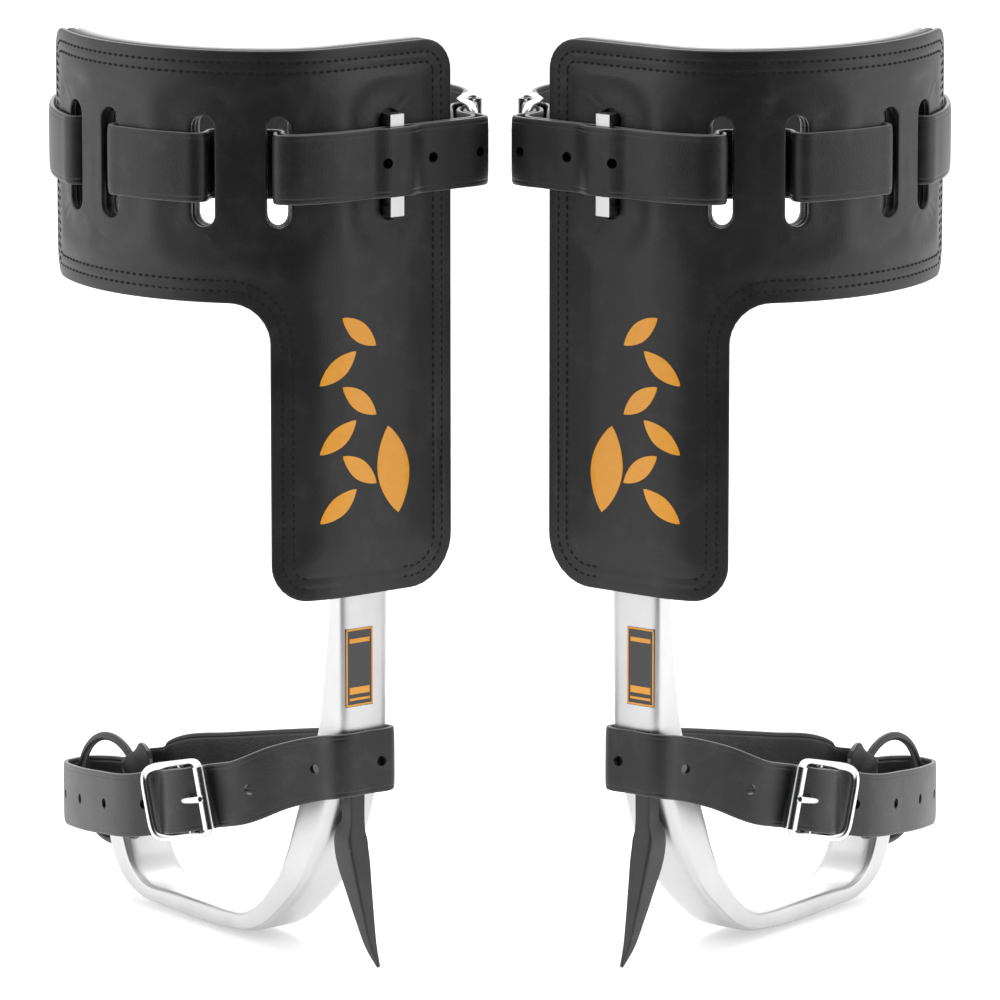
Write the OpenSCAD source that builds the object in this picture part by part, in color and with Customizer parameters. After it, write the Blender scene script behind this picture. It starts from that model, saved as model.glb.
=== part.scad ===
// A pair of tree climbing spurs.
// Each spur is an aluminium stirrup and shank, a steel gaff, a sliding sleeve in a leather pad,
// a calf strap and an ankle strap with roller buckles, and a ring in the stirrup's outer end.
// One spur is modelled with x towards the other leg, y towards the heel and z up, from the middle
// of its foot plate's top face. The pair stands side by side, and the right spur mirrors the left.

/* [Pair] */
// Distance between the middles of the two foot plates
pair_spacing = 277.2; // [260:0.2:340]
// Angle that each spur is turned outwards
toe_out = 53; // [45:1:58]

/* [Stirrup and shank] */
// Width of the forging from front to back
shank_w = 29; // [24:1:35]
// Thickness of the straight shank
shank_t = 12; // [10:0.5:14.4]
// Distance from the plate's middle to the straight shank's inner face
shank_x = 109; // [106:0.5:112]
// Height of the shank's top end
shank_top = 385; // [370:1:388]
// Height of the upper end of the stirrup's short arm
arm_top = 34; // [32:0.5:38]
// Width of the long slot that the sleeve's bolts run in
bolt_slot_w = 7; // [6.6:0.1:9]

/* [Gaff] */
// Width of the gaff's tang
tang_w = 9; // [7:0.5:11]
// Thickness of the tang
tang_t = 9; // [7:0.5:9.5]
// Width of the gaff's shoulder
gaff_w = 12; // [10:0.5:14]
// Height of the gaff's tip, below the foot plate
gaff_tip_z = -6.5; // [-10:0.5:-2]
// Offset of the gaff's middle plane towards the toe
gaff_y = 5; // [3:0.5:5.5]

/* [Sleeve] */
// Wall of the sleeve
sleeve_wall = 3; // [2.5:0.1:3.2]
// Height of the sleeve's lower end
sleeve_bottom = 205; // [200:1:215]
// Length of the sleeve
sleeve_len = 200; // [190:1:205]
// Diameter of the sleeve's bolts
bolt_d = 6; // [5:0.5:6.4]

/* [Pad] */
// Height of the pad's top edge
pad_top = 450; // [445:1:460]
// Height of the pad's wing
wing_h = 123; // [110:1:135]
// Height of the whole pad
pad_h = 270; // [262:1:275]
// Thickness of the front leather panel
front_t = 3; // [2:0.1:3.2]
// Thickness of the cushion at its edges
cushion_t = 6; // [5:0.5:8]
// Thickness of the felt lining
liner_t = 4; // [3:0.5:5]
// Width of the pad behind the shank's middle
pad_back = 46; // [44:0.5:50]
// Radius of the pad's first bend
bend_r = 60; // [56:1:70]
// Radius of the wing's curve round the leg
wing_r = 108; // [100:1:115]
// Length of the wing's curve
wing_len = 155; // [150:1:165]
// Width of the strap slots
slot_w = 12; // [11:0.5:13]
// Height of the strap slots
slot_h = 54; // [50:1:58]

/* [Straps] */
// Width of the calf strap
calf_w = 34; // [30:1:35]
// Width of the ankle strap
ankle_w = 32; // [28:1:34]
// Thickness of both straps
strap_t = 3; // [2.5:0.1:3.2]
// Height of the calf strap's middle
calf_z = 393; // [391:1:394]
// Diameter of the rivets' heads
rivet_d = 9; // [7:0.5:10]

/* [Ring and buckles] */
// Radius of the ring's middle line
ring_r = 27; // [25:0.5:29]
// Diameter of the ring's wire
ring_wire = 4.4; // [3.6:0.2:5]
// Diameter of the buckles' wire
buckle_wire = 4; // [3.6:0.1:4.2]
// Length of a buckle between its end bars' middles
buckle_len = 42; // [40:1:46]
// Outer diameter of a buckle's roller
roller_d = 6.8; // [6.4:0.2:7.2]
// How far a buckle's end bars stand out from its middle bar
bar_rise = 7.2; // [7.2:0.1:8]

/* [Hidden] */
$fn = 48;
fine = 96;
gap = 0.3;
running = 0.06;
over = 1;
eye_play = 2.4;
thread_play = 0.05;
recess_h = [60, 110];
screw_z = [78, 98];
screw_d = 5;
screw_head_d = 8;
screw_head_h = 3;
screw_len = 15;
bolt_z = [262, 322];
bolt_head_d = 12;
bolt_head_h = 2.4;
nut_d = 12;
nut_h = 3.2;
slide_down = 20;
slide_up = 40;
face_x = shank_x + shank_t + 9;
pocket_x = [shank_x - 7, face_x - front_t];
pocket_w = shank_w + 2 * sleeve_wall + 2.2;
pad_t = front_t + cushion_t + liner_t;
hump = face_x - pocket_x[0] + 6 - front_t - cushion_t;
hump_half = 24;
bend_len = 38.7;
bend_start = 18;
leg_end = bend_start + bend_len;
wing_end = leg_end + wing_len;
bend_deg = bend_len / bend_r * 180 / PI;
label_t = 0.4;
label_size = [16, 39];
label_at = [-4, 142];
slot_s = [52, 89.5, 144, 174];
loop_slot_s = -9;
slot_z = calf_z - 2;
pocket_top = slot_z + slot_h / 2 + 8;
loop_bar = 2.5;
loop_w = 8;
loop_end = 5;
layer_1 = gap + strap_t / 2;
layer_2 = layer_1 + gap + strap_t;
layer_loop = gap + strap_t + gap + loop_bar + gap + strap_t / 2;
behind = pad_t + gap + strap_t / 2;
bar_r = buckle_wire / 2;
fold_r = bar_r + gap + strap_t / 2;
ring_at = [-90, -8, 41];
fold_w = 14;
ring_fold_r = ring_wire / 2 + 1.4 + strap_t / 2;
calf_buckle_at = [face_x - 35, pad_back + 31.5, calf_z];
calf_buckle_turn = [0, 0, 143];
ankle_buckle_at = [33.7, -46.7, 65];
ankle_buckle_turn = [0, -14, 8.7];
prong_gap_w = 7.6;
billet_slot = [1.5, 19];

// Vector helpers: length 1, and the direction of an azimuth in the xy plane.
function unit(v) = v / norm(v);
function aim(a) = [cos(a), sin(a)];

// An outline from corners [x, y, radius]: each corner with a radius becomes an arc of 6 steps.
function corner_arc(p, q, r, radius) =
    let (u = unit(p - q), v = unit(r - q), half = acos(u * v) / 2)
    let (centre = q + unit(u + v) * radius / sin(half))
    let (a = q + u * radius / tan(half) - centre, b = q + v * radius / tan(half) - centre)
    let (start = atan2(a[1], a[0]), raw = atan2(b[1], b[0]) - start)
    let (turn = raw > 180 ? raw - 360 : (raw < -180 ? raw + 360 : raw))
    [for (i = [0 : 6]) centre + radius * aim(start + turn * i / 6)];
function outline(c) = [
    for (i = [0 : len(c) - 1])
        let (here = [c[i][0], c[i][1]])
        let (last = c[(i + len(c) - 1) % len(c)], next = c[(i + 1) % len(c)])
        each c[i][2] == 0 ? [here]
            : corner_arc([last[0], last[1]], here, [next[0], next[1]], c[i][2])
];

// A smooth curve through points of any dimension, with steps between each two.
function curve(p, steps) = [
    for (i = [0 : len(p) - 2])
        let (a = p[max(i - 1, 0)], b = p[i], c = p[i + 1], d = p[min(i + 2, len(p) - 1)])
        for (k = [0 : steps - 1 + (i == len(p) - 2 ? 1 : 0)])
            let (t = k / steps)
            (2 * b + (c - a) * t + (2 * a - 5 * b + 4 * c - d) * t * t
                + (3 * b - 3 * c + d - a) * t * t * t) / 2
];

// The pad's plan: distance s runs along the front face, from the shank's middle towards the toe,
// and depth d runs in from the front face towards the leg. turn_at gives the face's turn.
function turn_at(s) =
    s < bend_start ? 0
    : s < leg_end ? (s - bend_start) / bend_r * 180 / PI
    : bend_deg + (s - leg_end) / wing_r * 180 / PI;
bend_centre = [face_x - bend_r, -bend_start];
wing_centre = bend_centre + (bend_r - wing_r) * aim(-bend_deg);
function pad_point(s, d) =
    s < bend_start ? [face_x - d, -s]
    : s < leg_end ? bend_centre + (bend_r - d) * aim(-turn_at(s))
    : wing_centre + (wing_r - d) * aim(-turn_at(s));
// Depth of the cushion's back, which swells smoothly over the sleeve.
function swell(s) =
    let (t = min(1, max(0, (pad_back - abs(s)) / (pad_back - hump_half))))
    hump * t * t * (3 - 2 * t);

// Places along a buckle, carried into the spur's frame.
function turned(p, turn) =
    let (x = cos(turn[1]) * p[0] + sin(turn[1]) * p[2], z = cos(turn[1]) * p[2] - sin(turn[1]) * p[0])
    [cos(turn[2]) * x - sin(turn[2]) * p[1], sin(turn[2]) * x + cos(turn[2]) * p[1], z];
function calf_spot(p) = calf_buckle_at + turned(p, calf_buckle_turn);
function ankle_spot(p) = ankle_buckle_at + turned(p, ankle_buckle_turn);

// A stop on a strap's route: where it is, how wide the strap is there, and its edge's direction.
function stop(p, w, up = [0, 0, 1]) = [p, w, up];

// A strap: a flat section carried along its route.
module strap(route, thick) {
    last = len(route) - 1;
    rings = [
        for (i = [0 : last])
            let (ahead = unit(route[min(i + 1, last)][0] - route[max(i - 1, 0)][0]))
            let (up = route[i][2], edge = unit(up - (up * ahead) * ahead), face = cross(ahead, edge))
            let (w = edge * route[i][1] / 2, t = face * thick / 2, p = route[i][0])
            [p - w - t, p + w - t, p + w + t, p - w + t]
    ];
    points = [for (r = rings) each r];
    sides = [
        for (i = [0 : last - 1], k = [0 : 3])
            let (a = 4 * i + k, b = 4 * i + (k + 1) % 4)
            each [[a, b, b + 4], [a, b + 4, a + 4]]
    ];
    ends = [[0, 2, 1], [0, 3, 2], [4 * last, 4 * last + 1, 4 * last + 2],
        [4 * last, 4 * last + 2, 4 * last + 3]];
    polyhedron(points = points, faces = [for (f = concat(sides, ends)) [f[2], f[1], f[0]]]);
}

module rod(a, b, r) {
    d = b - a;
    translate(a)
        rotate([0, acos(d[2] / norm(d)), atan2(d[1], d[0])])
            cylinder(h = norm(d), r = r);
}

// ---- stirrup, shank and gaff ----

arm_low = -8.5;
plate_low = -11;
forging = [
    [-72, arm_top, 0], [-62, 0, 14], [31, 0, 22], [63, 27.5, 30], [97, 105, 120],
    [shank_x, 174, 100], [shank_x, shank_top, 0], [shank_x + shank_t, shank_top, 0],
    [shank_x + shank_t, 109, 0], [101, 45, 60], [86, 23, 40], [46, -5, 40], [-6, plate_low, 200],
    [-57, arm_low, 22], [-80, 6, 22], [-89, arm_top, 0]
];

module along_y(w) {
    translate([0, w / 2, 0])
        rotate([90, 0, 0])
            linear_extrude(w)
                children();
}

module ring_circle(r) {
    translate(ring_at)
        rotate([90, 0, 0])
            rotate_extrude($fn = fine)
                translate([ring_r, 0])
                    circle(r = r);
}

module shank() {
    color("gainsboro")
        difference() {
            along_y(shank_w)
                polygon(outline(forging));
            translate([shank_x + shank_t - tang_t, -gaff_y - tang_w / 2, recess_h[0]])
                cube([tang_t + over, tang_w, recess_h[1] - recess_h[0]]);
            for (z = screw_z)
                translate([shank_x + shank_t - screw_len, -gaff_y, z])
                    rotate([0, 90, 0])
                        cylinder(h = screw_len, d = screw_d + 2 * thread_play);
            translate([shank_x - over, -bolt_slot_w / 2, bolt_z[0] - slide_down])
                cube([shank_t + 2 * over, bolt_slot_w, bolt_z[1] - bolt_z[0] + slide_down + slide_up]);
            for (z = [bolt_z[0] - slide_down, bolt_z[1] + slide_up])
                translate([shank_x - over, 0, z])
                    rotate([0, 90, 0])
                        cylinder(h = shank_t + 2 * over, d = bolt_slot_w);
            ring_circle(ring_wire / 2 + eye_play);
        }
}

module gaff() {
    outer = shank_x + shank_t;
    side = [
        [outer - tang_t, recess_h[1], 0], [outer, recess_h[1], 0], [outer + 0.6, 52, 8],
        [outer + 18.5, gaff_tip_z + 1.3, 0], [outer + 16.6, gaff_tip_z, 0],
        [outer - 12.4, 44, 0], [outer - 13.4, 54, 0], [outer - tang_t, 66, 0]
    ];
    color("dimgray")
        difference() {
            intersection() {
                translate([0, -gaff_y, 0])
                    along_y(gaff_w)
                        polygon(outline(side));
                translate([0, -gaff_y, 0])
                    rotate([0, 90, 0])
                        linear_extrude(outer + 30)
                            polygon([
                                [-recess_h[1] - over, -tang_w / 2], [-60, -tang_w / 2],
                                [-54, -gaff_w / 2], [-44, -gaff_w / 2], [-gaff_tip_z + 1, -1.2],
                                [-gaff_tip_z + 1, 1.2], [-44, gaff_w / 2], [-54, gaff_w / 2],
                                [-60, tang_w / 2], [-recess_h[1] - over, tang_w / 2]
                            ]);
            }
            for (z = screw_z)
                translate([outer, -gaff_y, z])
                    rotate([0, -90, 0]) {
                        cylinder(h = tang_t + over, d = screw_d + 2 * thread_play);
                        translate([0, 0, -over])
                            cylinder(
                                h = screw_head_h + over + thread_play,
                                d = screw_head_d + 2 * thread_play
                            );
                    }
        }
}

module gaff_screws() {
    color("silver")
        for (z = screw_z)
            translate([shank_x + shank_t, -gaff_y, z])
                rotate([0, -90, 0]) {
                    cylinder(h = screw_len - over, d = screw_d);
                    cylinder(h = screw_head_h, d = screw_head_d);
                }
}

module label() {
    color("black")
        translate([shank_x + shank_t, label_at[0] - label_size[0] / 2, label_at[1] - label_size[1] / 2])
            cube([label_t, label_size[0], label_size[1]]);
}

// ---- sleeve ----

module sleeve() {
    inner = [shank_t + 2 * gap, shank_w + 2 * gap];
    outer_x = shank_x + shank_t + gap + sleeve_wall;
    bar_x = face_x + gap + strap_t + gap;
    loop_h = slot_h - 4;
    color("silver")
        difference() {
            union() {
                translate([shank_x - gap - sleeve_wall, -inner[1] / 2 - sleeve_wall, sleeve_bottom])
                    cube([inner[0] + 2 * sleeve_wall, inner[1] + 2 * sleeve_wall, sleeve_len]);
                translate([bar_x, -loop_slot_s - loop_w / 2, slot_z - loop_h / 2])
                    cube([loop_bar, loop_w, loop_h]);
                for (z = [slot_z - loop_h / 2, slot_z + loop_h / 2 - loop_end])
                    translate([outer_x - over, -loop_slot_s - loop_w / 2, z])
                        cube([bar_x - outer_x + over + loop_bar, loop_w, loop_end]);
            }
            translate([shank_x - gap, -inner[1] / 2, sleeve_bottom - over])
                cube([inner[0], inner[1], sleeve_len + 2 * over]);
            for (z = bolt_z)
                translate([shank_x - 10, 0, z])
                    rotate([0, 90, 0])
                        cylinder(h = shank_t + 20, d = bolt_d + 2 * thread_play);
        }
}

module sleeve_bolts() {
    low = shank_x - gap - sleeve_wall - nut_h;
    high = shank_x + shank_t + gap + sleeve_wall;
    color("silver")
        for (z = bolt_z)
            translate([low, 0, z])
                rotate([0, 90, 0]) {
                    cylinder(h = high - low, d = bolt_d);
                    translate([0, 0, high - low])
                        cylinder(h = bolt_head_h, d = bolt_head_d);
                }
}

module sleeve_nuts() {
    color("silver")
        for (z = bolt_z)
            translate([shank_x - gap - sleeve_wall, 0, z])
                rotate([0, -90, 0])
                    difference() {
                        cylinder(h = nut_h, d = nut_d, $fn = 6);
                        translate([0, 0, -over])
                            cylinder(h = nut_h + 2 * over, d = bolt_d + 2 * thread_play);
                    }
}

// ---- pad ----

module at_pad(s, z) {
    p = pad_point(s, 0);
    translate([p[0], p[1], z])
        rotate([0, 0, -turn_at(s)])
            children();
}

module stadium(h, w) {
    reach = 60;
    translate([-reach / 2, -w / 2, -h / 2 + w / 2])
        cube([reach, w, h - w]);
    for (z = [-h / 2 + w / 2, h / 2 - w / 2])
        translate([-reach / 2, 0, z])
            rotate([0, 90, 0])
                cylinder(h = reach, d = w);
}

// Takes the sharp corner off a panel; side and rise point out of the panel.
module corner_off(s, z, r, side, rise) {
    reach = 90;
    at_pad(s, z)
        difference() {
            translate([-reach / 2, side > 0 ? -over : over - r - over, rise > 0 ? -r : -over])
                cube([reach, r + over, r + over]);
            translate([-reach / 2 - over, side * r, -rise * r])
                rotate([0, 90, 0])
                    cylinder(h = reach + 2 * over, r = r);
        }
}

// A panel of the pad between two depths; back_swell makes its inner face follow the hump.
module panel(d0, d1, swell0, swell1, inset = 0) {
    low = pad_top - pad_h;
    steps = 52;
    from = -pad_back + inset;
    to = wing_end - inset;
    run = [for (i = [0 : steps]) from + (to - from) * i / steps];
    leg = [for (s = run) if (s <= leg_end - inset) s];
    module slab(list, bottom, top) {
        translate([0, 0, bottom])
            linear_extrude(top - bottom)
                polygon(concat(
                    [for (s = list) pad_point(s, d0 + swell0 * swell(s))],
                    [for (i = [len(list) - 1 : -1 : 0]) pad_point(list[i], d1 + swell1 * swell(list[i]))]
                ));
    }
    difference() {
        union() {
            slab(run, pad_top - wing_h + inset, pad_top - inset);
            slab(concat(leg, [leg_end - inset]), low + inset, pad_top - wing_h + inset + over);
        }
        for (s = slot_s)
            at_pad(s, slot_z)
                stadium(slot_h, slot_w);
        corner_off(from, pad_top - inset, 16, -1, 1);
        corner_off(from, low + inset, 25, -1, -1);
        corner_off(leg_end - inset, low + inset, 18, 1, -1);
        corner_off(to, pad_top - inset, 16, 1, 1);
        corner_off(to, pad_top - wing_h + inset, 16, 1, -1);
    }
}

module pad_front() {
    color("dimgray")
        difference() {
            panel(0, front_t, 0, 0);
            at_pad(loop_slot_s, slot_z)
                stadium(slot_h, slot_w);
        }
}

module pad_cushion() {
    color("darkslategray")
        difference() {
            panel(front_t, front_t + cushion_t, 0, 1);
            translate([pocket_x[0], -pocket_w / 2, pad_top - pad_h - over])
                cube([pocket_x[1] - pocket_x[0] + over, pocket_w, pocket_top - pad_top + pad_h + over]);
        }
}

module pad_liner() {
    color("lightgray")
        panel(front_t + cushion_t, pad_t, 1, 1);
}

// ---- buckles ----

// A side rail: a flat bar bent at the middle bar, so that both end bars stand out.
module buckle_rail() {
    end_x = buckle_len / 2;
    r = bar_r + 0.4;
    linear_extrude(buckle_wire)
        polygon(outline([
            [-end_x - r, -bar_rise - r + 0.6, 2], [-end_x + 1.4, -bar_rise - r, 2], [0, -r - 0.4, 6],
            [end_x - 1.4, -bar_rise - r, 2], [end_x + r, -bar_rise - r + 0.6, 2],
            [end_x + r - 0.6, -bar_rise + r, 2], [0, r + 0.4, 10], [-end_x - r + 0.6, -bar_rise + r, 2]
        ]));
}

module buckle_frame(strap_w) {
    rail_z = strap_w / 2 + 0.6;
    end_x = buckle_len / 2;
    color("lightgray")
        union() {
            for (z = [-rail_z - buckle_wire, rail_z])
                translate([0, 0, z])
                    buckle_rail();
            for (p = [[-end_x, -bar_rise], [0, 0], [end_x, -bar_rise]])
                translate([p[0], p[1], -rail_z - over])
                    cylinder(h = 2 * (rail_z + over), r = bar_r);
        }
}

module buckle_roller(strap_w) {
    color("silver")
        translate([buckle_len / 2, -bar_rise, -strap_w / 2 + gap])
            difference() {
                cylinder(h = strap_w - 2 * gap, d = roller_d);
                translate([0, 0, -over])
                    cylinder(h = strap_w + 2 * over, r = bar_r + running);
            }
}

prong_w = 3.4;
// A flat tongue bent over the billet, with an eye round the middle bar.
module buckle_prong() {
    rest_y = -bar_rise - roller_d / 2 - 0.15;
    tip_x = buckle_len / 2 + 2.5;
    eye_r = bar_r + running + 1.6;
    color("silver")
        difference() {
            union() {
                translate([0, 0, -prong_w / 2 - 1])
                    cylinder(h = prong_w + 2, r = eye_r);
                translate([0, 0, -prong_w / 2])
                    linear_extrude(prong_w)
                        polygon(outline([
                            [1.2, -2.6, 0], [3.2, -1.4, 0], [9, rest_y + 2.2, 4], [tip_x - 6, rest_y, 6],
                            [tip_x, rest_y, 0.6], [tip_x, rest_y - 2.2, 1.2], [8, rest_y - 1.2, 5]
                        ]));
            }
            translate([0, 0, -prong_w])
                cylinder(h = 2 * prong_w, r = bar_r + running);
        }
}

module at_calf_buckle() {
    translate(calf_buckle_at)
        rotate(calf_buckle_turn)
            children();
}

module at_ankle_buckle() {
    translate(ankle_buckle_at)
        rotate(ankle_buckle_turn)
            children();
}

// A strap end folded round a buckle's middle bar, from the inner ply to the outer ply.
fold_steps = 6;
function fold_spot(r, a) = [r * cos(a), r * sin(a), 0];
function fold_round(r) = [for (i = [0 : fold_steps]) fold_spot(r, 90 - 180 * i / fold_steps)];
outer_ply = fold_r - strap_t - gap;
billet_y = [
    bar_rise - roller_d / 2 - 2.2 * gap - strap_t / 2,
    fold_r + strap_t + gap,
    strap_t + gap - outer_ply
];

module rivet(p0, p1, play) {
    rod(p0, p1, screw_d / 2 - 1 + play);
}

// ---- calf strap ----

function pad_stop(s, d) = let (p = pad_point(s, d)) stop([p[0], p[1], calf_z], calf_w);
function pad_run(s0, s1, d, n) = [for (i = [0 : n]) pad_stop(s0 + (s1 - s0) * i / n, d)];
// In or out through a slot: 1 goes in, -1 comes out.
turn_in = 2.6;
function slot_pass(s, way, shift = 0) = way > 0
    ? [pad_stop(s + shift - turn_in, -layer_1), pad_stop(s + shift, turn_in - layer_1),
        pad_stop(s + shift, behind - turn_in), pad_stop(s + shift + turn_in, behind)]
    : [pad_stop(s + shift - turn_in, behind), pad_stop(s + shift, behind - turn_in),
        pad_stop(s + shift, turn_in - layer_1), pad_stop(s + shift + turn_in, -layer_1)];

calf_back_run = [
    [60, 107], [33, 112], [4, 97], [-30, 60], [-57, 18], [-66, -22], [-57, -55]
];
loop_edge = loop_w / 2 + 3;
calf_route = concat(
    [stop(calf_spot([-30, fold_r, 0]), calf_w)],
    [for (p = fold_round(fold_r)) stop(calf_spot(p), calf_w)],
    [stop(calf_spot([-14, outer_ply, 0]), calf_w), stop(calf_spot([-23, outer_ply, 0]), calf_w)],
    [stop([face_x - 1.2, pad_back + 14.4, calf_z], calf_w)],
    [stop([face_x + layer_1 - 0.4, pad_back + 10, calf_z], calf_w)],
    pad_run(-pad_back - 2, bend_start, -layer_1, 2),
    pad_run(bend_start + 7, slot_s[0] - 9, -layer_1, 2),
    slot_pass(slot_s[0], 1, -2.7),
    pad_run(slot_s[0] + 8, slot_s[1] - 8, behind, 3),
    slot_pass(slot_s[1], -1),
    pad_run(slot_s[1] + 9, slot_s[2] - 9, -layer_1, 4),
    slot_pass(slot_s[2], 1),
    pad_run(slot_s[2] + 10, slot_s[3] - 10, behind, 2),
    slot_pass(slot_s[3], -1),
    pad_run(slot_s[3] + 10, wing_end, -layer_1, 4),
    [for (p = curve(concat([pad_point(wing_end + 8, -layer_1)],
        [for (i = [len(calf_back_run) - 1 : -1 : 0]) calf_back_run[i]],
        [[calf_spot([34, -billet_y[0] + 0.4, 0])[0], calf_spot([34, -billet_y[0] + 0.4, 0])[1]]]), 4))
        stop([p[0], p[1], calf_z], calf_w)],
    [stop(calf_spot([26, -billet_y[0], 0]), calf_w), stop(calf_spot([17, -billet_y[0], 0]), calf_w),
        stop(calf_spot([5, -billet_y[1], 0]), calf_w), stop(calf_spot([-5, -billet_y[1], 0]), calf_w),
        stop(calf_spot([-16, -billet_y[2], 0]), calf_w), stop(calf_spot([-24, -billet_y[2], 0]), calf_w)],
    [stop([face_x + 3.4, pad_back + 18.3, calf_z], calf_w), stop([face_x + 5.2, pad_back + 12, calf_z], calf_w)],
    pad_run(-pad_back - 1, loop_slot_s - loop_edge - 6, -layer_2, 2),
    pad_run(loop_slot_s - loop_edge, loop_slot_s + loop_edge, -layer_loop, 2),
    pad_run(loop_slot_s + loop_edge + 6, bend_start, -layer_2, 2),
    pad_run(bend_start + 8, slot_s[0] - 5, -layer_2, 2),
    [pad_stop(slot_s[0] + 1.2, -2.4), pad_stop(slot_s[0] + 1.2, 6)]
);

module calf_strap() {
    color("dimgray")
        difference() {
            strap(calf_route, strap_t);
            at_calf_buckle() {
                translate([0, 0, -prong_gap_w / 2])
                    linear_extrude(prong_gap_w)
                        polygon([[-9, -5.9], [19, -5.9], [19, 7], [-9, 7]]);
                translate([billet_slot[0], -14, -prong_gap_w / 2])
                    cube([billet_slot[1] - billet_slot[0], 14, prong_gap_w]);
            }
            for (z = [-8, 8])
                rivet(calf_spot([-19, -1.8, z]), calf_spot([-19, 8, z]), thread_play);
        }
}

module calf_rivets() {
    low = outer_ply - strap_t / 2;
    high = fold_r + strap_t / 2;
    color("silver")
        for (z = [-8, 8]) {
            rivet(calf_spot([-19, low + 0.1, z]), calf_spot([-19, high + 1, z]), 0);
            rod(calf_spot([-19, high, z]), calf_spot([-19, high + 1.2, z]), rivet_d / 2);
        }
}

// ---- ring, ankle strap and buckle strap ----

module ring() {
    color("dimgray")
        ring_circle(ring_wire / 2);
}

// A strap end folded round the ring where the ring's wire is at angle a in its plane: it comes
// from the side of the heel (way 1) or of the toe (way -1) and ends a ply further out.
function ring_spot(a, out, y) = ring_at + [(ring_r + out) * cos(a), y, (ring_r + out) * sin(a)];
function ring_fold(a, way) = [
    for (i = [0 : 6])
        let (t = 180 * i / 6)
        stop(ring_spot(a, -ring_fold_r * sin(t), way * ring_fold_r * cos(t)), fold_w, [-sin(a), 0, cos(a)])
];

heel_fold = 32;
toe_fold = -8;
far_run = [
    [-36, 3, 61.5], [-10, 12, 66.5], [28, 19.5, 74], [66, 20.5, 82], [94, 17.5, 89]
];
side_x = shank_x + shank_t + gap + strap_t / 2;
side_y = shank_w / 2 + gap + strap_t / 2;
tail_run = [
    [-40, -49.5, 49.5], [-86, -34, 41.5], [-112, -20.5, 36.5], [-125, -10, 34], [-126, 1, 34],
    [-116, 7.5, 35], [-100, 8, 37]
];
ankle_route = concat(
    [stop(ring_spot(heel_fold, 22, -4.6), fold_w + 8, [-sin(18), 0, cos(18)])],
    [stop(ring_spot(heel_fold, 9, -3.4), fold_w, [-sin(heel_fold), 0, cos(heel_fold)])],
    [for (i = [6 : -1 : 0]) ring_fold(heel_fold, 1)[i]],
    [stop(ring_spot(heel_fold, 9, 3.6), fold_w, [-sin(heel_fold), 0, cos(heel_fold)]),
        stop([-51, -2, 58.5], ankle_w - 8, [-sin(16), 0, cos(16)])],
    [for (p = curve(concat(far_run, [[shank_x + 8, side_y, 93.5]]), 3)) stop(p, ankle_w)],
    [stop([side_x - 1, side_y - 0.6, 94], ankle_w), stop([side_x + 0.4, side_y - 3, 94], ankle_w),
        stop([side_x, 0, 94], ankle_w), stop([side_x + 0.4, -side_y + 3, 94], ankle_w),
        stop([side_x - 1.2, -side_y - 0.4, 93.8], ankle_w)],
    [for (p = curve([[shank_x + 2, -side_y - 4, 91.5], [92, -30, 85], ankle_spot([38, -billet_y[0], 0])], 3))
        stop(p, ankle_w)],
    [stop(ankle_spot([30, -billet_y[0], 0]), ankle_w), stop(ankle_spot([17, -billet_y[0], 0]), ankle_w),
        stop(ankle_spot([5, -billet_y[1], 0]), ankle_w), stop(ankle_spot([-5, -billet_y[1], 0]), ankle_w),
        stop(ankle_spot([-16, -billet_y[2], 0]), ankle_w), stop(ankle_spot([-38, -billet_y[2], 0]), ankle_w)],
    [for (p = curve(tail_run, 3)) stop(p, ankle_w)]
);
buckle_edge = turned([0, 0, 1], ankle_buckle_turn);
buckle_strap_route = concat(
    [stop(ankle_spot([-28, fold_r, 0]), ankle_w, buckle_edge)],
    [for (p = fold_round(fold_r)) stop(ankle_spot(p), ankle_w, buckle_edge)],
    [stop(ankle_spot([-14, outer_ply, 0]), ankle_w), stop(ankle_spot([-30, outer_ply, 0]), ankle_w)],
    [for (p = curve([ankle_spot([-42, outer_ply + 2, 0]), [-30, -42, 48], [-48, -28.5, 42]], 3))
        stop(p, ankle_w - 4)],
    [stop(ring_spot(toe_fold, 6, -9), fold_w + 4)],
    [stop(ring_spot(toe_fold, 2, -ring_fold_r - 0.6), fold_w, [-sin(toe_fold), 0, cos(toe_fold)])],
    [for (i = [0 : 5]) ring_fold(toe_fold, -1)[i]]
);

module ankle_strap() {
    color("dimgray")
        difference() {
            strap(ankle_route, strap_t);
            at_ankle_buckle()
                translate([billet_slot[0], -14, -prong_gap_w / 2])
                    cube([billet_slot[1] - billet_slot[0], 18, prong_gap_w]);
        }
}

module buckle_strap() {
    color("dimgray")
        difference() {
            strap(buckle_strap_route, strap_t);
            at_ankle_buckle()
                translate([-9, -14, -prong_gap_w / 2])
                    cube([24, 28, prong_gap_w]);
        }
}

module ankle_rivets() {
    back = fold_r + strap_t / 2;
    color("silver")
        for (z = [-8, 8])
            rod(ankle_spot([-20, back, z]), ankle_spot([-20, back + 1.2, z]), rivet_d / 2);
}

// ---- the pair ----

module on_left() {
    translate([-pair_spacing / 2, 0, 0])
        rotate([0, 0, -toe_out])
            children();
}

module on_right() {
    mirror([1, 0, 0])
        on_left()
            children();
}

module calf_buckle() at_calf_buckle() buckle_frame(calf_w);
module calf_prong() at_calf_buckle() buckle_prong();
module calf_roller() at_calf_buckle() buckle_roller(calf_w);
module ankle_buckle() at_ankle_buckle() buckle_frame(ankle_w);
module ankle_prong() at_ankle_buckle() buckle_prong();
module ankle_roller() at_ankle_buckle() buckle_roller(ankle_w);

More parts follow.
